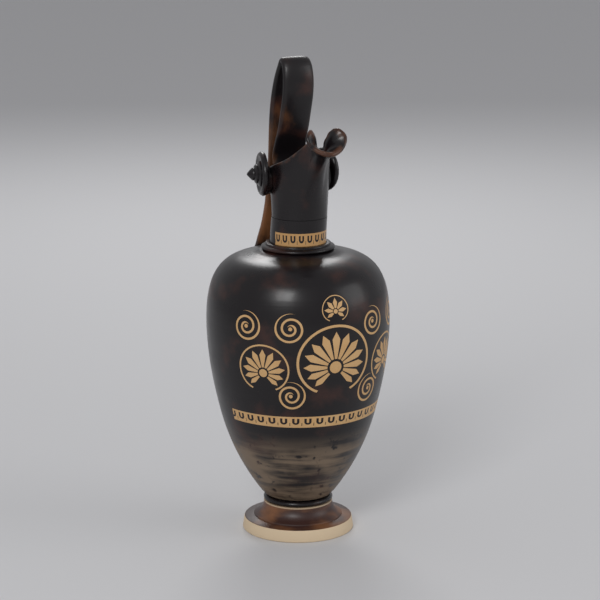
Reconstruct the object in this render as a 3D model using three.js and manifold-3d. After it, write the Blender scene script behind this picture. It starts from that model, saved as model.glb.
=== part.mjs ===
// A beaked oinochoe, the Greek wine jug: black-glazed clay, high-swung strap handle, a disc each side of the mouth.
// Millimetres, +Z up, the foot's resting ring on z = 0, the axis of the wheel on Z, the beak towards -Y.
// The potter's pieces are separate solids, each seated in or on the next with a luting gap between them.
import * as THREE from 'three';
import { mergeVertices } from 'three/addons/utils/BufferGeometryUtils.js';
import Module from 'manifold-3d';

// Joints, and how finely round pieces are faceted
const lutingGap = 0.3;
const turnSteps = 40;
const discSteps = 26;

// Foot: a hollow flaring ring, turned on the wheel
const footRadius = 39.4;
const footEdgeHeight = 8.8;
const footEdgeSlant = 1.1;
const footEdgeRounding = 0.9;
const footRestWidth = 8.4;
const footRidgeRadius = 31.4;
const footRidgeRise = 1.5;
const footStemRadius = 24.3;
const footHeight = 20.6;
const footBoreRadius = 16.5;

// Fillet: a ring of clay round the joint of foot and body
const filletHeight = 3.7;
const filletBulge = 1.1;

// Body: a thrown shell, widest at the belly; heights count from where its wall starts
const baseRadius = 23.5;
const basePlugRadius = 19.7;
const baseFlare = 39;
const flankRadius = 55.1;
const flankHeight = 62.6;
const flankLean = 14.2;
const bellyRadius = 64.8;
const bellyHeight = 130.1;
const shoulderRadius = 25.9;
const shoulderHeight = 177.9;
const collarSlope = 50;
const bodyWall = 4.6;
const floorThickness = 7.2;
const shoulderLedge = 2.2;

// Neck and the moulded collar at its base
const neckRadius = 19.7;
const neckTopRadius = 19.4;
const neckWall = 4;
const neckHeight = 23.2;
const neckLean = 2.4;
const neckRebate = 3.2;
const spigotHeight = 2.4;
const collarHeight = 4.3;
const collarBead = 1.1;
const collarUpperBead = 0.9;
const collarStep = 2.8;

// Mouth: a bowl pinched forward into a beak with two ears; heights count from its seat on the neck
const mouthWall = 3.7;
const bowlRadius = 20.2;
const rimRearHeight = 31.5;
const flankReach = 18.5;
const flankHalfWidth = 15.6;
const flankRimHeight = 43;
const waistReach = 32.5;
const waistHalfWidth = 8.2;
const waistHeight = 54.8;
const earReach = 45.4;
const earSpread = 14.2;
const earHeight = 64.2;
const lipReach = 55.4;
const lipHeight = 49;
const throatReach = 33.5;
const throatHeight = 40;

// Strap handle: from the shoulder, over the top and down to the rear of the rim
const strapWidth = 23.2;
const strapThickness = 6;
const strapEdgePower = 0.65;
const handleRootReach = 49;
const handleRearReach = 26.4;
const handleRise = 107.8;

// Discs beside the mouth, each with a stepped boss luted into its dished face
const discRadius = 15.3;
const discThickness = 4.4;
const discDish = 1.4;
const discReach = -8;
const discSide = 25.9;
const discHeight = 29.7;
const discSplay = 12;
const stubRadius = 8.6;
const stubDrop = 4.5;
const bossRadius = 8.6;
const bossHeight = 8.7;
const bossSocket = 0.6;

const wasm = await Module();
wasm.setup();

const degrees = Math.PI / 180;
const glaze = { color: 0x1a1416, roughness: 0.28, metalness: 0 };
const wornGlaze = { color: 0x4a2f1c, roughness: 0.42, metalness: 0 };
const wornFoot = { color: 0x6b5138, roughness: 0.6, metalness: 0 };

const at = (radius, height) => new THREE.Vector2(radius, height);
// A place on the jug: reach forward of the axis, side (right is +X) and height.
const place = (reach, side, height) => new THREE.Vector3(side, -reach, height);
// A point a distance from another in a turning profile, by its angle from straight up.
const beside = (point, lean, distance) => at(
  point.x + distance * Math.sin(lean * degrees),
  point.y + distance * Math.cos(lean * degrees),
);

// Points of an arc in a turning profile, angles in degrees from outwards, turning upwards.
function arc(centre, radius, from, to, steps) {
  const points = [];
  for (let i = 0; i <= steps; i += 1) {
    const angle = (from + (to - from) * i / steps) * degrees;
    points.push(at(centre.x + radius * Math.cos(angle), centre.y + radius * Math.sin(angle)));
  }
  return points;
}

// The same curve moved sideways by a distance, to the right of its direction.
function offset(points, distance) {
  return points.map((point, i) => {
    const before = points[Math.max(i - 1, 0)];
    const after = points[Math.min(i + 1, points.length - 1)];
    const along = after.clone().sub(before).normalize();
    return at(point.x + along.y * distance, point.y - along.x * distance);
  });
}

// Turns a profile about the Z axis; it starts and ends on the axis, or on one point.
function turn(profile, steps = turnSteps) {
  const geometry = new THREE.LatheGeometry(profile, steps);
  geometry.rotateX(Math.PI / 2);
  return geometry;
}

const turnRing = (profile) => turn([...profile, profile[0]]);

function middle(ring) {
  const sum = new THREE.Vector3();
  ring.forEach((point) => sum.add(point));
  return sum.divideScalar(ring.length);
}

// Joins rings of equally many points into one closed surface, round on itself or capped at both ends.
function skin(rings, roundOnItself) {
  const count = rings[0].length;
  const points = rings.flat();
  const faces = [];
  const spans = roundOnItself ? rings.length : rings.length - 1;
  for (let i = 0; i < spans; i += 1) {
    const near = i * count;
    const far = ((i + 1) % rings.length) * count;
    for (let j = 0; j < count; j += 1) {
      const next = (j + 1) % count;
      faces.push(near + j, near + next, far + next);
      faces.push(near + j, far + next, far + j);
    }
  }
  if (!roundOnItself) {
    const last = (rings.length - 1) * count;
    const cap = points.length;
    points.push(middle(rings[0]), middle(rings[rings.length - 1]));
    for (let j = 0; j < count; j += 1) {
      const next = (j + 1) % count;
      faces.push(cap, next, j);
      faces.push(cap + 1, last + j, last + next);
    }
  }
  const geometry = new THREE.BufferGeometry();
  const numbers = points.flatMap((point) => [point.x, point.y, point.z]);
  geometry.setAttribute('position', new THREE.Float32BufferAttribute(numbers, 3));
  geometry.setIndex(faces);
  return geometry;
}

// A geometry as a solid that can be cut and joined; the empty triangles at a pole are left out.
function toSolid(geometry) {
  const bare = new THREE.BufferGeometry();
  bare.setAttribute('position', geometry.getAttribute('position').clone());
  bare.setIndex(geometry.getIndex());
  const merged = mergeVertices(bare, 1e-3);
  const index = merged.getIndex().array;
  const corners = [];
  for (let i = 0; i < index.length; i += 3) {
    const [a, b, c] = [index[i], index[i + 1], index[i + 2]];
    if (a !== b && b !== c && c !== a) corners.push(a, b, c);
  }
  const vertProperties = new Float32Array(merged.getAttribute('position').array);
  return new wasm.Manifold(new wasm.Mesh({ numProp: 3, vertProperties, triVerts: new Uint32Array(corners) }));
}

function toGeometry(solid) {
  const mesh = solid.getMesh();
  const geometry = new THREE.BufferGeometry();
  geometry.setAttribute('position', new THREE.Float32BufferAttribute(mesh.vertProperties, 3));
  geometry.setIndex([...mesh.triVerts]);
  return geometry;
}

// Levels up the jug
const baseSeat = footHeight + lutingGap;
const wallStart = baseSeat + filletHeight + lutingGap;
const shoulderTop = wallStart + shoulderHeight;
const neckSeat = shoulderTop - neckRebate;
const collarBottom = shoulderTop + lutingGap;
const collarTop = collarBottom + collarHeight;
const mouthSeat = shoulderTop + neckHeight;

// Foot and fillet

function footGeometry() {
  const edgeTop = footRadius - footEdgeSlant;
  const restOuter = footRadius - footEdgeRounding;
  const restInner = restOuter - footRestWidth;
  const ridgeHeight = footEdgeHeight + footRidgeRise;
  const stemRise = footHeight - ridgeHeight;
  const stem = new THREE.CubicBezierCurve(
    at(footRidgeRadius - 0.7, ridgeHeight + 0.6),
    at(footRidgeRadius - 5, ridgeHeight + stemRise * 0.2),
    at(footStemRadius, footHeight - stemRise * 0.5),
    at(footStemRadius, footHeight),
  );
  const hollow = new THREE.CubicBezierCurve(
    at(footBoreRadius, footHeight),
    at(footBoreRadius, footHeight * 0.55),
    at(restInner * 0.8, footHeight * 0.25),
    at(restInner, 0),
  );
  return turnRing([
    at(restInner, 0),
    ...arc(at(restOuter, footEdgeRounding), footEdgeRounding, -90, 0, 3),
    ...arc(at(edgeTop - footEdgeRounding, footEdgeHeight - footEdgeRounding), footEdgeRounding, 5, 85, 3),
    at(footRidgeRadius, ridgeHeight - 0.5),
    at(footRidgeRadius - 0.2, ridgeHeight + 0.3),
    ...stem.getPoints(6),
    ...hollow.getPoints(5).slice(0, -1),
  ]);
}

function filletGeometry() {
  const inner = basePlugRadius + lutingGap;
  const top = baseSeat + filletHeight;
  const round = filletHeight * 0.45;
  const roundCentre = at(baseRadius + filletBulge - round, baseSeat + filletHeight / 2);
  return turnRing([
    at(inner, baseSeat),
    at(roundCentre.x, baseSeat),
    ...arc(roundCentre, round, -70, 70, 5),
    at(baseRadius - 0.4, top),
    at(inner, top),
  ]);
}

// Body

// The outline of the body's wall, from the joint at the foot to the joint at the neck.
function bodyOutline() {
  const base = at(baseRadius, wallStart);
  const flank = at(flankRadius, wallStart + flankHeight);
  const belly = at(bellyRadius, wallStart + bellyHeight);
  const collar = at(shoulderRadius, shoulderTop);
  const upperRise = bellyHeight - flankHeight;
  const shoulderRise = shoulderHeight - bellyHeight;
  const lower = new THREE.CubicBezierCurve(
    base,
    beside(base, baseFlare, flankHeight * 0.356),
    beside(flank, flankLean, flankHeight * -0.4),
    flank,
  );
  const upper = new THREE.CubicBezierCurve(
    flank,
    beside(flank, flankLean, upperRise * 0.316),
    beside(belly, 0, upperRise * -0.381),
    belly,
  );
  const shoulder = new THREE.CubicBezierCurve(
    belly,
    beside(belly, 0, shoulderRise * 1.115),
    beside(collar, collarSlope - 90, shoulderRise * -0.2),
    collar,
  );
  return [...lower.getPoints(7), ...upper.getPoints(5).slice(1), ...shoulder.getPoints(10).slice(1)];
}

function bodyGeometry() {
  const neckBore = neckRadius - neckWall;
  const socket = neckRadius + lutingGap;
  const floor = baseSeat + floorThickness;
  const ledgeBottom = neckSeat - shoulderLedge;
  const inside = offset(bodyOutline(), -bodyWall)
    .filter((point) => point.x > neckBore + 1 && point.y < ledgeBottom - 0.3 && point.y > floor + 3)
    .reverse()
    .filter((point, i) => i % 2 === 0);
  const lowest = inside[inside.length - 1];
  return turn([
    at(0, baseSeat),
    at(basePlugRadius, baseSeat),
    at(basePlugRadius, wallStart),
    ...bodyOutline(),
    at(socket, shoulderTop),
    at(socket, neckSeat),
    at(neckBore, neckSeat),
    at(neckBore, ledgeBottom),
    ...inside,
    at(lowest.x * 0.55, floor + 0.6),
    at(0, floor),
  ]);
}

// Everything inside the body's wall, grown by a distance: it trims what is luted to the shoulder.
function bodyFilled(grow) {
  const outside = offset(bodyOutline(), grow);
  const top = outside[outside.length - 1];
  return toSolid(turn([at(0, outside[0].y), ...outside, at(0, top.y)]));
}

// Neck and collar

// How far the neck has swung forward at a height.
function leanAt(height) {
  const share = THREE.MathUtils.clamp((height - shoulderTop) / neckHeight, 0, 1);
  return neckLean * share * share;
}

function collarGeometry() {
  const inner = neckRadius + lutingGap;
  const lowerBead = at(shoulderRadius - collarBead, collarBottom + collarBead);
  const upperBead = at(shoulderRadius - collarStep - collarUpperBead, collarTop - collarUpperBead);
  return turnRing([
    at(inner, collarBottom),
    ...arc(lowerBead, collarBead, -90, 70, 4),
    ...arc(upperBead, collarUpperBead, -30, 90, 3),
    at(inner, collarTop),
  ]);
}

const spigotRadius = neckTopRadius - neckWall / 2;

function neckGeometry() {
  const foot = neckSeat + lutingGap;
  const top = mouthSeat - lutingGap / 2;
  const innerTop = neckTopRadius - neckWall;
  const geometry = turnRing([
    at(neckRadius, foot),
    at(neckRadius, collarTop),
    at((neckRadius + neckTopRadius) / 2, (collarTop + top) / 2),
    at(neckTopRadius, top),
    at(spigotRadius, top),
    at(spigotRadius, top + spigotHeight),
    at(innerTop, top + spigotHeight),
    at((innerTop + neckRadius - neckWall) / 2, (collarTop + top) / 2),
    at(neckRadius - neckWall, foot),
  ]);
  const position = geometry.getAttribute('position');
  for (let i = 0; i < position.count; i += 1) {
    position.setY(i, position.getY(i) - leanAt(position.getZ(i)));
  }
  return geometry;
}

// Mouth

// The seat on the neck, and then the wall's control ribs up to the rim. Each runs from the rear round
// one flank, past the waist of the beak and its ear, to the middle of the lip: reach, side, height.
function mouthRibs() {
  const diagonal = bowlRadius * Math.SQRT1_2;
  const seatAngles = [180, 145, 108, 76, 52, 38, 28, 20, 13, 6.5, 0];
  const seat = seatAngles.map((angle) => [
    neckLean + neckTopRadius * Math.cos(angle * degrees),
    neckTopRadius * Math.sin(angle * degrees),
    0,
  ]);
  const rise = seat.map(([reach, side], i) => [reach + i * 0.1, side, 8 + Math.min(i, 5) * 0.8]);
  const throat = [
    [-bowlRadius, 0, rimRearHeight * 0.6],
    [-diagonal, diagonal, rimRearHeight * 0.6],
    [0, bowlRadius * 1.03, rimRearHeight * 0.64],
    [flankReach * 0.76, flankHalfWidth * 1.15, flankRimHeight * 0.58],
    [throatReach * 0.72, waistHalfWidth * 1.5, throatHeight * 0.82],
    [throatReach * 0.84, waistHalfWidth * 1.17, throatHeight * 0.95],
    [throatReach * 0.93, waistHalfWidth * 0.93, throatHeight * 1.02],
    [throatReach * 0.97, waistHalfWidth * 0.73, throatHeight * 1.02],
    [throatReach * 0.985, waistHalfWidth * 0.54, throatHeight * 1.02],
    [throatReach, waistHalfWidth * 0.29, throatHeight * 1.01],
    [throatReach, 0, throatHeight],
  ];
  const flare = [
    [-bowlRadius, 0, rimRearHeight * 0.86],
    [-diagonal, diagonal, rimRearHeight * 0.87],
    [0, bowlRadius * 1.02, rimRearHeight * 0.93],
    [flankReach * 0.92, flankHalfWidth * 1.05, flankRimHeight * 0.86],
    [waistReach * 0.92, waistHalfWidth * 1.08, waistHeight * 0.86],
    [waistReach * 1.11, waistHalfWidth * 0.6, waistHeight * 0.98],
    [earReach * 0.88, earSpread * 0.18, earHeight * 0.9],
    [earReach * 0.94, earSpread * 0.2, earHeight * 0.88],
    [earReach * 0.98, earSpread * 0.22, lipHeight * 1.09],
    [lipReach * 0.8, earSpread * 0.18, lipHeight * 1.03],
    [lipReach * 0.79, 0, lipHeight],
  ];
  const rim = [
    [-bowlRadius, 0, rimRearHeight],
    [-diagonal, diagonal, rimRearHeight * 1.02],
    [0, bowlRadius, rimRearHeight * 1.11],
    [flankReach, flankHalfWidth, flankRimHeight],
    [waistReach, waistHalfWidth, waistHeight],
    [waistReach * 1.18, waistHalfWidth * 1.04, waistHeight * 1.105],
    [earReach * 0.935, earSpread * 0.79, earHeight],
    [earReach, earSpread, earHeight * 0.935],
    [earReach * 1.065, earSpread * 0.83, lipHeight * 1.1],
    [lipReach * 0.945, earSpread * 0.49, lipHeight * 1.03],
    [lipReach, 0, lipHeight],
  ];
  return [seat, rise, throat, flare, rim];
}

// A closed rib through its points and their mirror images.
function ribCurve(rows) {
  const right = rows.map(([reach, side, height]) => place(reach, side, mouthSeat + height));
  const left = rows.slice(1, -1).reverse().map(([reach, side, height]) => place(reach, -side, mouthSeat + height));
  return new THREE.CatmullRomCurve3([...right, ...left], true, 'catmullrom', 0.5);
}

const ribs = mouthRibs().map(ribCurve);

// A point on the mouth's outer face: a share of the way round from the rear, and up from the seat.
function mouthPoint(around, up) {
  const binomials = [1, 4, 6, 4, 1];
  const point = new THREE.Vector3();
  ribs.forEach((rib, i) => {
    const weight = binomials[i] * up ** i * (1 - up) ** (4 - i);
    point.addScaledVector(rib.getPoint((around + 1) % 1), weight);
  });
  return point;
}

// The directions up the wall and out of it at a point of the outer face.
function mouthFrame(around, up) {
  const step = 2e-3;
  const alongRim = mouthPoint(around + step, up).sub(mouthPoint(around - step, up)).normalize();
  const upWall = mouthPoint(around, Math.min(up + step, 1)).sub(mouthPoint(around, Math.max(up - step, 0)));
  upWall.normalize();
  const outward = new THREE.Vector3().crossVectors(upWall, alongRim).normalize();
  return { upWall, outward };
}

// The wall's closed section at one place round the mouth, grown on all sides by a distance:
// up the outer face, over the rounded lip, down the inner face and round the rebate on the neck's spigot.
function mouthSection(around, grow) {
  const section = [];
  const wallSteps = 9;
  for (let i = 0; i <= wallSteps; i += 1) {
    const { outward } = mouthFrame(around, i / wallSteps);
    section.push(mouthPoint(around, i / wallSteps).addScaledVector(outward, grow));
  }
  const end = mouthFrame(around, 1);
  const lipCentre = mouthPoint(around, 1).addScaledVector(end.outward, -mouthWall / 2);
  const lipRadius = mouthWall / 2 + grow;
  for (let angle = 45; angle <= 135; angle += 45) {
    const edge = lipCentre.clone().addScaledVector(end.outward, lipRadius * Math.cos(angle * degrees));
    section.push(edge.addScaledVector(end.upWall, lipRadius * Math.sin(angle * degrees)));
  }
  for (let i = wallSteps; i >= 1; i -= 1) {
    const { outward } = mouthFrame(around, i / wallSteps);
    section.push(mouthPoint(around, i / wallSteps).addScaledVector(outward, -mouthWall - grow));
  }
  const seat = mouthPoint(around, 0);
  const inward = place(neckLean, 0, mouthSeat).sub(seat).normalize();
  const bottom = mouthSeat + lutingGap / 2 - grow;
  const rebateTop = mouthSeat + spigotHeight + lutingGap;
  const rebate = neckTopRadius - spigotRadius - lutingGap;
  section.push(seat.clone().addScaledVector(inward, neckWall + grow).setZ(rebateTop));
  section.push(seat.clone().addScaledVector(inward, rebate).setZ(rebateTop));
  section.push(seat.clone().addScaledVector(inward, rebate).setZ(bottom));
  section[0].setZ(bottom);
  return section;
}

function mouthGeometry(grow = 0) {
  const columns = 60;
  const rings = [];
  for (let i = 0; i < columns; i += 1) {
    rings.push(mouthSection(i / columns, grow));
  }
  return skin(rings, true);
}

// What the handle and the discs may not enter: the mouth's wall grown by the gap, and its bowl.
function mouthKeepOut() {
  const bowlTop = mouthSeat + rimRearHeight;
  const inside = bowlRadius - mouthWall / 2;
  const bowl = turn([at(0, mouthSeat + 10), at(inside, mouthSeat + 10), at(inside, bowlTop), at(0, bowlTop)]);
  return toSolid(mouthGeometry(lutingGap)).add(toSolid(bowl));
}

const keepOut = mouthKeepOut();

// Handle

// Stations of the strap's middle line, from inside the shoulder to inside the rear of the rim:
// reach, height, share of the full width and of the thickness, curl of the edges towards the front.
function strapStations() {
  const rimTop = mouthSeat + rimRearHeight;
  const loop = mouthSeat + handleRise - rimTop;
  const rear = handleRearReach;
  const rimMiddle = bowlRadius - mouthWall / 2;
  return [
    [-handleRootReach, shoulderTop - 16, 1.3, 1.4, 0],
    [-handleRootReach * 0.89, shoulderTop - 2.3, 1.12, 1.17, 0],
    [-rear * 1.42, shoulderTop + 14, 0.96, 1.03, 0],
    [-rear * 1.235, shoulderTop + 31.7, 0.905, 1, 0],
    [-rear * 1.06, rimTop + loop * 0.06, 0.905, 1, 0],
    [-rear, rimTop + loop * 0.355, 0.905, 1, 0],
    [-rear * 0.9, rimTop + loop * 0.578, 0.92, 1, 0.003],
    [-rear * 0.7, rimTop + loop * 0.776, 0.94, 1, 0.008],
    [-rear * 0.44, rimTop + loop * 0.933, 0.95, 1, 0.014],
    [-rear * 0.165, rimTop + loop, 0.93, 1, -0.018],
    [rear * 0.015, rimTop + loop * 0.937, 0.97, 1, -0.012],
    [rear * 0.05, rimTop + loop * 0.794, 1, 1, -0.004],
    [-rear * 0.02, rimTop + loop * 0.662, 1, 1, 0],
    [-rear * 0.16, rimTop + loop * 0.53, 1, 1, 0.003],
    [-rear * 0.34, rimTop + loop * 0.37, 1, 0.97, 0.008],
    [-rear * 0.57, rimTop + loop * 0.23, 1.03, 0.92, 0.013],
    [-rimMiddle, rimTop + loop * 0.115, 1.1, 0.78, 0.02],
    [-rimMiddle, rimTop + 0.8, 1.15, 0.6, 0.026],
  ];
}

function strapGeometry() {
  const stations = strapStations();
  const path = new THREE.CatmullRomCurve3(stations.map(([reach, height]) => place(reach, 0, height)));
  const steps = 42;
  const around = 16;
  const rings = [];
  for (let i = 0; i <= steps; i += 1) {
    const centre = path.getPoint(i / steps);
    const along = path.getTangent(i / steps);
    const outward = new THREE.Vector3(0, along.z, -along.y);
    const [wide, thick, curl] = blend(stations, i / steps).slice(2);
    const ring = [];
    for (let j = 0; j < around; j += 1) {
      const angle = 2 * Math.PI * j / around;
      const across = rounded(Math.cos(angle)) * wide * strapWidth / 2;
      const through = rounded(Math.sin(angle)) * thick * strapThickness / 2;
      const point = centre.clone().addScaledVector(outward, through);
      point.x += across;
      point.y -= curl * across * across;
      ring.push(point);
    }
    rings.push(ring);
  }
  return skin(rings, false);
}

// A cosine or sine drawn towards the corners, so that a strap's section is flat with rounded edges.
const rounded = (value) => Math.sign(value) * Math.abs(value) ** strapEdgePower;

// The row at a share of the way through a list of rows, eased from each row to the next.
function blend(rows, share) {
  const spot = share * (rows.length - 1);
  const i = Math.min(Math.floor(spot), rows.length - 2);
  const part = THREE.MathUtils.smoothstep(spot - i, 0, 1);
  return rows[i].map((value, k) => value * (1 - part) + rows[i + 1][k] * part);
}

function handleGeometry() {
  return toGeometry(toSolid(strapGeometry()).subtract(bodyFilled(lutingGap)).subtract(keepOut));
}

// Discs and bosses, made lying flat with the axis on Z, then stood beside the mouth

function discGeometry() {
  const round = discThickness / 2;
  const socket = bossRadius + lutingGap;
  const socketFloor = -discDish - bossSocket;
  return turn([
    at(0, -discThickness),
    ...arc(at(discRadius - round, -round), round, -90, 110, 6),
    at(socket, -discDish),
    at(socket, socketFloor),
    at(0, socketFloor),
  ], discSteps);
}

// Three steps and a point, each step a rounded edge over a sloping ledge.
function bossGeometry() {
  const floor = -discDish - bossSocket + lutingGap;
  const middleStep = bossRadius * 0.77;
  const topStep = bossRadius * 0.52;
  return turn([
    at(0, floor),
    at(bossRadius, floor),
    at(bossRadius, 0.1),
    at(bossRadius - 0.5, bossHeight * 0.07),
    at(middleStep, bossHeight * 0.15),
    at(middleStep, bossHeight * 0.27),
    at(middleStep - 0.5, bossHeight * 0.33),
    at(topStep, bossHeight * 0.42),
    at(topStep, bossHeight * 0.54),
    at(topStep - 0.5, bossHeight * 0.61),
    at(bossRadius * 0.14, bossHeight * 0.92),
    at(0, bossHeight),
  ], discSteps);
}

// The matrix that stands a disc beside the mouth; side is 1 for the right one, -1 for the left one.
function discPlacement(side) {
  const placement = new THREE.Matrix4().makeTranslation(side * discSide, -discReach, mouthSeat + discHeight);
  placement.multiply(new THREE.Matrix4().makeRotationZ(side * (90 + discSplay) * degrees));
  return placement.multiply(new THREE.Matrix4().makeRotationX(90 * degrees));
}

// A disc with the stub of clay that carries it, trimmed to the mouth's wall.
function rotelleGeometry(side) {
  const reachIn = discSide - bowlRadius + 2;
  const stub = new THREE.CylinderGeometry(stubRadius * 1.3, stubRadius, reachIn, discSteps);
  stub.rotateX(Math.PI / 2);
  stub.translate(0, -stubDrop, -discThickness / 2 - reachIn / 2);
  const placed = toGeometry(toSolid(discGeometry()).add(toSolid(stub)));
  placed.applyMatrix4(discPlacement(side));
  return toGeometry(toSolid(placed).subtract(keepOut));
}

// Assembly

const oinochoe = new THREE.Group();

function addPiece(name, geometry, look) {
  const mesh = new THREE.Mesh(geometry, new THREE.MeshStandardMaterial(look));
  mesh.name = name;
  oinochoe.add(mesh);
  return mesh;
}

addPiece('foot', footGeometry(), wornFoot);
addPiece('foot_fillet', filletGeometry(), glaze);
addPiece('body', bodyGeometry(), glaze);
addPiece('neck_collar', collarGeometry(), glaze);
addPiece('neck', neckGeometry(), glaze);
addPiece('mouth', mouthGeometry(), glaze);
addPiece('handle', handleGeometry(), wornGlaze);

for (const [side, name] of [[1, 'right'], [-1, 'left']]) {
  addPiece(`rotelle_${name}`, rotelleGeometry(side), glaze);
  const boss = addPiece(`boss_${name}`, bossGeometry(), glaze);
  boss.applyMatrix4(discPlacement(side));
}

export default oinochoe;
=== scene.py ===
import math
import bpy
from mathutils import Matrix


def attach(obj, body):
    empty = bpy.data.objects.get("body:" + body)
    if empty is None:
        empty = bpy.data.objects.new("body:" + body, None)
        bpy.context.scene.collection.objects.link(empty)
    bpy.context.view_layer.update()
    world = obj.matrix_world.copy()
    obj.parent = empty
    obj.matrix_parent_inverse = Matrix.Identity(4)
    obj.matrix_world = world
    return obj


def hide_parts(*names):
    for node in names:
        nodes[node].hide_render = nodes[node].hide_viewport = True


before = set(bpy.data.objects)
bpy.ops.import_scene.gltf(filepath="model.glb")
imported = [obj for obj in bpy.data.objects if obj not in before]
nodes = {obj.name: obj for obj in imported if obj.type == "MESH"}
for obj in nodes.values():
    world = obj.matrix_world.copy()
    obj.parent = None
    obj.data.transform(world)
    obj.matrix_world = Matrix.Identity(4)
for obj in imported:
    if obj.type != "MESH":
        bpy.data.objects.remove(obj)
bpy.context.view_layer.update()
mm = 0.001

# Shader maths: an expression on wrapped sockets adds its Math nodes.


class Wire:
    def __init__(self, paint, socket):
        self.paint = paint
        self.socket = socket

    def maths(self, operation, *others):
        return self.paint.node("ShaderNodeMath", {"operation": operation}, [self, *others])

    def __add__(self, other):
        return self.maths("ADD", other)

    def __sub__(self, other):
        return self.maths("SUBTRACT", other)

    def __mul__(self, other):
        return self.maths("MULTIPLY", other)

    def __truediv__(self, other):
        return self.maths("DIVIDE", other)

    def __lt__(self, other):
        return self.maths("LESS_THAN", other)

    def __gt__(self, other):
        return self.maths("GREATER_THAN", other)

    def __rsub__(self, other):
        return self * -1 + other

    def __abs__(self):
        return self.maths("ABSOLUTE")

    __radd__ = __add__
    __rmul__ = __mul__

    def root(self):
        return self.maths("SQRT")

    def least(self, other):
        return self.maths("MINIMUM", other)

    def most(self, other):
        return self.maths("MAXIMUM", other)

    def part(self):
        return self.maths("FRACT")

    def angle(self, other):
        return self.maths("ARCTAN2", other)

    def soft(self, start, end):
        values = [self, start, end, 0.0, 1.0]
        return self.paint.node("ShaderNodeMapRange", {"interpolation_type": "SMOOTHSTEP"}, values)


class Paint:
    def __init__(self, name):
        self.material = bpy.data.materials.new(name)
        self.material.use_nodes = True
        self.tree = self.material.node_tree
        self.shader = self.tree.nodes["Principled BSDF"]
        self.place = self.node("ShaderNodeTexCoord", {}, [], "Object").socket
        split = self.tree.nodes.new("ShaderNodeSeparateXYZ")
        self.tree.links.new(self.place, split.inputs[0])
        self.x, self.y, self.z = [Wire(self, output) for output in split.outputs]

    # One node: its type, its settings, the values or links of its sockets, and the output that is wanted.
    def node(self, kind, settings, values, output=0):
        made = self.tree.nodes.new(kind)
        for key, value in settings.items():
            setattr(made, key, value)
        keys = values.items() if isinstance(values, dict) else enumerate(values)
        for key, value in keys:
            value = value.socket if isinstance(value, Wire) else value
            if isinstance(value, bpy.types.NodeSocket):
                self.tree.links.new(value, made.inputs[key])
            else:
                made.inputs[key].default_value = value
        return Wire(self, made.outputs[output])

    def noise(self, scale, detail, stretch=(1, 1, 1)):
        place = self.node("ShaderNodeMapping", {}, {"Vector": self.place, "Scale": stretch})
        values = {"Vector": place, "Scale": scale, "Detail": detail}
        return self.node("ShaderNodeTexNoise", {}, values, "Fac")

    def mix(self, mask, low, high):
        return self.node("ShaderNodeMix", {"data_type": "RGBA"}, {0: mask, 6: low, 7: high}, 2)

    def feed(self, socket, value):
        if isinstance(value, Wire):
            self.tree.links.new(value.socket, self.shader.inputs[socket])
        else:
            self.shader.inputs[socket].default_value = value

    def bump(self, height, strength, distance):
        values = {"Strength": strength, "Distance": distance, "Height": height}
        self.feed("Normal", self.node("ShaderNodeBump", {}, values))


clay = {
    "black": (0.0075, 0.0055, 0.0065, 1),
    "brown": (0.042, 0.016, 0.012, 1),
    "orange": (0.21, 0.085, 0.032, 1),
    "rust": (0.085, 0.034, 0.018, 1),
    "streak": (0.20, 0.145, 0.098, 1),
    "buff": (0.56, 0.32, 0.125, 1),
    "warmBuff": (0.66, 0.43, 0.21, 1),
    "paleBuff": (0.70, 0.55, 0.37, 1),
}

glazeLook = {
    "mottle": {"scale": 38, "detail": 5}, "mottleFrom": 0.5, "mottleTo": 0.72,
    "sheen": {"scale": 55, "detail": 4}, "sheenSpread": 0.22, "dull": 0.18,
    "specular": 0.38, "coat": 0.06, "coatRoughness": 0.1,
    "wheelLines": {"scale": 22, "detail": 3, "stretch": (0.5, 0.5, 11)},
    "grain": {"scale": 140, "detail": 2}, "grainShare": 0.5,
    "bumpStrength": 0.16, "bumpDepth": 0.6 * mm,
}


def glazeColour(paint):
    look = glazeLook
    mottle = paint.noise(**look["mottle"]).soft(look["mottleFrom"], look["mottleTo"])
    return paint.mix(mottle, clay["black"], clay["brown"])


# Gloss with faint wheel lines; dull is the roughness it starts from, a number or a mask.
def glazeFinish(paint, dull=glazeLook["dull"]):
    look = glazeLook
    paint.feed("Roughness", paint.noise(**look["sheen"]) * look["sheenSpread"] + dull)
    paint.feed("Specular IOR Level", look["specular"])
    paint.feed("Coat Weight", look["coat"])
    paint.feed("Coat Roughness", look["coatRoughness"])
    grain = paint.noise(**look["grain"]) * look["grainShare"]
    paint.bump(paint.noise(**look["wheelLines"]) + grain, look["bumpStrength"], look["bumpDepth"])


# How far a value lies from the middle of its repeat, as a share of the pitch from 0 to 0.5.
def fromMiddle(value, pitch):
    return abs((value / pitch + 100.5).part() - 0.5)  # the 100 repeats keep it above zero


# Shares of the band's height, and across it of the pitch.
eggLook = {
    "bendUp": 0.52, "bendFlattening": 1.2, "tongueInner": 0.1, "tongueOuter": 0.3,
    "tongueLow": 0.14, "tongueHigh": 0.84,
    "dartAcross": 0.47, "dartLow": 0.16, "dartHigh": 0.44,
}


# Egg band: dark U-shaped tongues with darts between them, on a buff stripe.
def eggBand(paint, around, look):
    egg = eggLook
    low, high = look["eggLow"], look["eggHigh"]
    band = (paint.z > low) * (paint.z < high) * (abs(around) < look["eggSpan"])
    up = (paint.z - low) / (high - low)
    across = fromMiddle(around, look["eggPitch"])
    drop = (egg["bendUp"] - up).most(0) * egg["bendFlattening"]
    reach = (across * across + drop * drop).root()
    outline = (reach > egg["tongueInner"]) * (reach < egg["tongueOuter"])
    tongue = outline * (up > egg["tongueLow"]) * (up < egg["tongueHigh"])
    dart = (across > egg["dartAcross"]) * (up > egg["dartLow"]) * (up < egg["dartHigh"])
    return band * (1 - tongue.most(dart))


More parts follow.
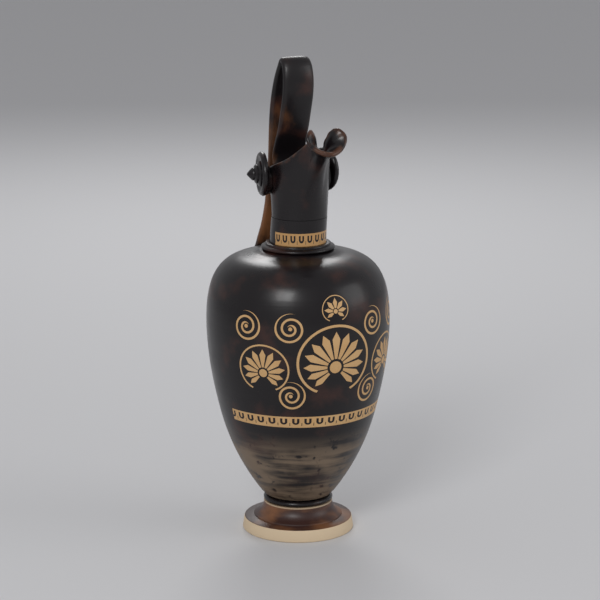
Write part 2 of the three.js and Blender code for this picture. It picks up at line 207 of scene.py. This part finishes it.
palmetteLook = {
    "petalStart": 0.24, "heart": 0.17, "archHalfWidth": 0.035,  # shares of the palmette's size
    "archRadius": 1.16, "sideShortening": 0.045,  # on the petals' length, the second by the angle squared
    "spread": 5.0, "petalEnd": 2.45, "archEnd": 2.5,  # angles in radians, the ends from straight up
    "petalHalfWidth": 0.37, "tipSlope": 0.55,  # the first a share of the petals' step
}


# Palmette: petals that fan out of a heart, shorter towards the sides, under an arched line.
def palmette(along, up, size, petals):
    look = palmetteLook
    reach = (along * along + up * up).root()
    turn = along.angle(up)
    tip = size * (1 - turn * turn * look["sideShortening"])
    step = look["spread"] / petals
    side = fromMiddle(turn, step) * step * reach
    halfWidth = (reach * look["petalHalfWidth"] * step).least((tip - reach) * look["tipSlope"])
    fan = (side < halfWidth) * (reach > size * look["petalStart"]) * (abs(turn) < look["petalEnd"])
    heart = reach < size * look["heart"]
    line = abs(reach - tip * look["archRadius"]) < size * look["archHalfWidth"]
    return fan.most(heart).most(line * (abs(turn) < look["archEnd"]))


# The gap between turns is a share of the scroll's size, and the rest are shares of the gap.
scrollLook = {"gap": 0.42, "halfWidth": 0.17, "bandStart": 0.5, "eye": 0.3}


# Scroll: a band that winds in on itself and ends in a round eye.
def scroll(along, up, size, hand):
    look = scrollLook
    reach = (along * along + up * up).root()
    turn = (along * hand).angle(up)
    gap = size * look["gap"]
    wound = (reach / gap - turn / (2 * math.pi) + 10).part()  # the 10 turns keep it above zero
    band = (abs(wound - 0.5) < look["halfWidth"]) * (reach < size) * (reach > gap * look["bandStart"])
    return band.most(reach < gap * look["eye"])


bodyLook = {
    "beltRadius": 62 * mm,
    "eggLow": 88.5 * mm, "eggHigh": 96.6 * mm, "eggPitch": math.radians(8.5), "eggSpan": math.radians(77),
    "palmetteUp": 132 * mm, "palmetteSize": 25 * mm, "palmettePetals": 13,
    "sideOut": 50 * mm, "sideUp": 128 * mm, "sideSize": 17 * mm, "sidePetals": 11,
    "budUp": 171 * mm, "budSize": 9 * mm, "budPetals": 7,
    "scrollSize": 10.5 * mm, "scrollLow": 112 * mm, "scrollHigh": 160 * mm,
    "scrollOut": 31 * mm, "farOut": 62 * mm,
    "thinTop": 84 * mm, "thinFade": 24 * mm, "thinFrom": 0.38, "thinTo": 0.56,
    "streaks": {"scale": 30, "detail": 7, "stretch": (0.6, 0.6, 6)}, "streakShare": 0.55,
    "patches": {"scale": 24, "detail": 6}, "patchShare": 0.45,
    "spots": {"scale": 150, "detail": 4}, "spotFrom": 0.58, "spotTo": 0.7,
    "clayTone": {"scale": 90, "detail": 6},
    "dull": 0.2, "bareDull": 0.25,
}


# Palmettes and scrolls round the front, the same on both sides of the beak.
def bodyOrnament(along, z):
    look = bodyLook
    away = abs(along)
    size = look["scrollSize"]
    ornament = palmette(along, z - look["palmetteUp"], look["palmetteSize"], look["palmettePetals"])
    side = palmette(away - look["sideOut"], z - look["sideUp"], look["sideSize"], look["sidePetals"])
    lowScroll = scroll(away - look["scrollOut"], z - look["scrollLow"], size, 1)
    highScroll = scroll(away - look["scrollOut"], z - look["scrollHigh"], size, -1)
    farScroll = scroll(away - look["farOut"], z - look["scrollHigh"], size, 1)
    bud = palmette(along, z - look["budUp"], look["budSize"], look["budPetals"])
    return ornament.most(side).most(lowScroll).most(highScroll).most(farScroll).most(bud)


# Black glaze with the ornament reserved in buff, thin and streaked on the lower body.
def bodyMaterial():
    look = bodyLook
    paint = Paint("body black glaze")
    around = paint.x.angle(paint.y * -1)
    reserved = bodyOrnament(around * look["beltRadius"], paint.z).most(eggBand(paint, around, look))
    streaks = paint.noise(**look["streaks"]) * look["streakShare"]
    patches = paint.noise(**look["patches"]) * look["patchShare"]
    spots = paint.noise(**look["spots"]).soft(look["spotFrom"], look["spotTo"])
    fade = 1 - paint.z.soft(look["thinTop"] - look["thinFade"], look["thinTop"])
    thin = fade * (streaks + patches).soft(look["thinFrom"], look["thinTo"]) * (1 - spots)
    colour = paint.mix(thin, glazeColour(paint), clay["streak"])
    clayTone = paint.mix(paint.noise(**look["clayTone"]), clay["buff"], clay["warmBuff"])
    paint.feed("Base Color", paint.mix(reserved, colour, clayTone))
    glazeFinish(paint, reserved.most(thin) * look["bareDull"] + look["dull"])
    return paint.material


neckLook = {
    "eggLow": 207.6 * mm, "eggHigh": 216.7 * mm, "eggPitch": math.radians(17), "eggSpan": math.radians(77),
}


def neckMaterial():
    paint = Paint("neck black glaze")
    around = paint.x.angle(paint.y * -1)
    eggs = eggBand(paint, around, neckLook)
    paint.feed("Base Color", paint.mix(eggs, glazeColour(paint), clay["buff"]))
    glazeFinish(paint)
    return paint.material


def plainMaterial(name):
    paint = Paint(name)
    paint.feed("Base Color", glazeColour(paint))
    glazeFinish(paint)
    return paint.material


mouthLook = {
    "rearRim": 257.5 * mm, "rearReach": -20 * mm, "rearSlope": 0.3,
    "flankReach": 18.5 * mm, "flankSlope": 0.6,
    "earTop": 290 * mm, "earReach": 44 * mm, "beakSlope": -1.4,
    "wearDepth": 3.2 * mm, "wear": {"scale": 120, "detail": 5}, "wearFrom": 0.38, "wearTo": 0.6,
}


# The glaze is worn to rusty clay along the lip, which rises from the rear to the ears and falls to the beak.
def mouthMaterial():
    look = mouthLook
    paint = Paint("mouth worn lip")
    reach = paint.y * -1
    rearRise = (reach - look["rearReach"]).most(0) * look["rearSlope"]
    flankRise = (reach - look["flankReach"]).most(0) * look["flankSlope"]
    beak = (reach - look["earReach"]) * look["beakSlope"] + look["earTop"]
    rim = (rearRise + flankRise + look["rearRim"]).least(beak)
    nearLip = (paint.z - rim).soft(-look["wearDepth"], 0.0)
    worn = nearLip * paint.noise(**look["wear"]).soft(look["wearFrom"], look["wearTo"])
    paint.feed("Base Color", paint.mix(worn, glazeColour(paint), clay["rust"]))
    glazeFinish(paint)
    return paint.material


handleLook = {
    "wear": {"scale": 48, "detail": 6, "stretch": (1, 1, 0.4)}, "wearFrom": 0.4, "wearTo": 0.62,
    "keptFrom": 240 * mm, "keptTo": 335 * mm, "keptShare": 0.22, "dull": 0.28,
}


# Worn to orange-brown in patches, fewer towards the top, where more of the black is kept.
def handleMaterial():
    look = handleLook
    paint = Paint("handle worn glaze")
    kept = paint.z.soft(look["keptFrom"], look["keptTo"]) * look["keptShare"]
    worn = (paint.noise(**look["wear"]) - kept).soft(look["wearFrom"], look["wearTo"])
    paint.feed("Base Color", paint.mix(worn, glazeColour(paint), clay["orange"]))
    glazeFinish(paint, look["dull"])
    return paint.material


footLook = {
    "edgeRadius": 37.6 * mm, "edgeTop": 8.5 * mm, "lineFrom": 19.7 * mm, "lineShare": 0.6,
    "wash": {"scale": 30, "detail": 5, "stretch": (1, 1, 3)}, "washFrom": 0.4, "washTo": 0.66,
    "dull": 0.42, "edgeDull": 0.3,
    "grain": {"scale": 160, "detail": 3}, "bumpStrength": 0.2, "bumpDepth": 0.5 * mm,
}


# A brown wash, with pale clay bare on the outer edge and half bare in a line at the top.
def footMaterial():
    look = footLook
    paint = Paint("foot clay")
    radius = (paint.x * paint.x + paint.y * paint.y).root()
    edge = (radius > look["edgeRadius"]) * (paint.z < look["edgeTop"])
    line = (paint.z > look["lineFrom"]) * look["lineShare"]
    brushed = paint.noise(**look["wash"]).soft(look["washFrom"], look["washTo"])
    wash = paint.mix(brushed, clay["brown"], clay["orange"])
    paint.feed("Base Color", paint.mix(edge.most(line), wash, clay["paleBuff"]))
    paint.feed("Roughness", edge * look["edgeDull"] + look["dull"])
    paint.bump(paint.noise(**look["grain"]), look["bumpStrength"], look["bumpDepth"])
    return paint.material


# Fine pieces

pieceLook = {
    "mergeWithin": 1e-5,
    "quadFace": math.radians(40), "quadShape": math.radians(60),
    "crispOver": math.radians(62),
}


# A CAD node's shape with its corners merged and its grid turned back to quads.
# Rounding is how often it is subdivided, and edges over the angle, in degrees, are shaded sharp.
def finePiece(node, material, rounding, angle):
    look = pieceLook
    bpy.ops.object.select_all(action="DESELECT")
    source = nodes[node]
    source.hide_set(False)
    source.select_set(True)
    bpy.context.view_layer.objects.active = source
    bpy.ops.object.duplicate()
    piece = bpy.context.view_layer.objects.active
    piece.name = node + "_fine"
    bpy.ops.mesh.customdata_custom_splitnormals_clear()
    bpy.ops.object.mode_set(mode="EDIT")
    bpy.ops.mesh.select_all(action="SELECT")
    bpy.ops.mesh.remove_doubles(threshold=look["mergeWithin"])
    bpy.ops.mesh.tris_convert_to_quads(face_threshold=look["quadFace"], shape_threshold=look["quadShape"])
    if rounding:  # corners at the seats stay crisp
        bpy.ops.mesh.select_mode(type="EDGE")
        bpy.ops.mesh.select_all(action="DESELECT")
        bpy.ops.mesh.edges_select_sharp(sharpness=look["crispOver"])
        bpy.ops.transform.edge_crease(value=1)
    bpy.ops.object.mode_set(mode="OBJECT")
    if rounding:
        bpy.ops.object.modifier_add(type="SUBSURF")
        piece.modifiers[-1].levels = rounding
        piece.modifiers[-1].render_levels = rounding
        bpy.ops.object.modifier_apply(modifier=piece.modifiers[-1].name)
    bpy.ops.object.shade_smooth_by_angle(angle=math.radians(angle))
    piece.data.materials.clear()
    piece.data.materials.append(material)
    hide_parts(node)
    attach(piece, "root")


blackGlaze = plainMaterial("black glaze")
finePiece("body", bodyMaterial(), rounding=1, angle=55)
finePiece("foot", footMaterial(), rounding=0, angle=35)
finePiece("foot_fillet", blackGlaze, rounding=0, angle=50)
finePiece("neck_collar", blackGlaze, rounding=0, angle=50)
finePiece("neck", neckMaterial(), rounding=0, angle=50)
finePiece("mouth", mouthMaterial(), rounding=1, angle=55)
finePiece("handle", handleMaterial(), rounding=1, angle=55)
for side in ("right", "left"):
    finePiece("rotelle_" + side, blackGlaze, rounding=0, angle=40)
    finePiece("boss_" + side, blackGlaze, rounding=0, angle=40)
print("pieces made")

# Stage

stageLook = {
    "floorSize": 24.0, "floorTone": (0.62, 0.62, 0.63, 1), "floorRoughness": 0.8,
    "roomTone": (0.72, 0.72, 0.74, 1), "roomLight": 0.55,
}
bpy.ops.object.select_all(action="DESELECT")
bpy.ops.mesh.primitive_plane_add(size=stageLook["floorSize"], location=(0, 0, 0))
floor = bpy.context.view_layer.objects.active
floor.name = "floor"
bpy.ops.object.transform_apply(location=True, rotation=True, scale=True)
floorPaint = Paint("pale floor")
floorPaint.feed("Base Color", stageLook["floorTone"])
floorPaint.feed("Roughness", stageLook["floorRoughness"])
floor.data.materials.append(floorPaint.material)

world = bpy.data.worlds.new("soft room")
bpy.context.scene.world = world
world.use_nodes = True
room = world.node_tree.nodes["Background"]
room.inputs["Color"].default_value = stageLook["roomTone"]
room.inputs["Strength"].default_value = stageLook["roomLight"]

# Softboxes: size, power, place, and the height on the jug that each looks at.
lamps = {
    "key": (0.7, 16, (-1.2, -1.3, 1.3), 0.16),
    "fill": (1.0, 6, (1.4, -1.0, 0.8), 0.16),
    "back": (0.6, 7, (0.5, 1.3, 1.1), 0.2),
}
for name, (size, power, spot, lookAt) in lamps.items():
    bpy.ops.object.light_add(type="AREA", location=spot)
    lamp = bpy.context.view_layer.objects.active
    lamp.name = name
    lamp.data.size = size
    lamp.data.energy = power
    tilt = math.atan2(math.hypot(spot[0], spot[1]), spot[2] - lookAt)
    lamp.rotation_euler = (tilt, 0, math.atan2(spot[0], -spot[1]))

cameraLook = {
    "turn": math.radians(24), "tilt": math.radians(76.94), "lens": 141.66, "sensor": 36,
    "away": 1.610, "aside": 0.0014, "up": 0.539,
}
sine, cosine = math.sin(cameraLook["turn"]), math.cos(cameraLook["turn"])
bpy.ops.object.camera_add(
    location=(
        -sine * cameraLook["away"] + cameraLook["aside"] * cosine,
        -cosine * cameraLook["away"] - cameraLook["aside"] * sine,
        cameraLook["up"],
    ),
    rotation=(cameraLook["tilt"], 0, -cameraLook["turn"]),
)
camera = bpy.context.view_layer.objects.active
camera.data.lens = cameraLook["lens"]
camera.data.sensor_width = cameraLook["sensor"]
bpy.context.scene.camera = camera
bpy.context.scene.view_settings.view_transform = "Standard"
print("stage made")
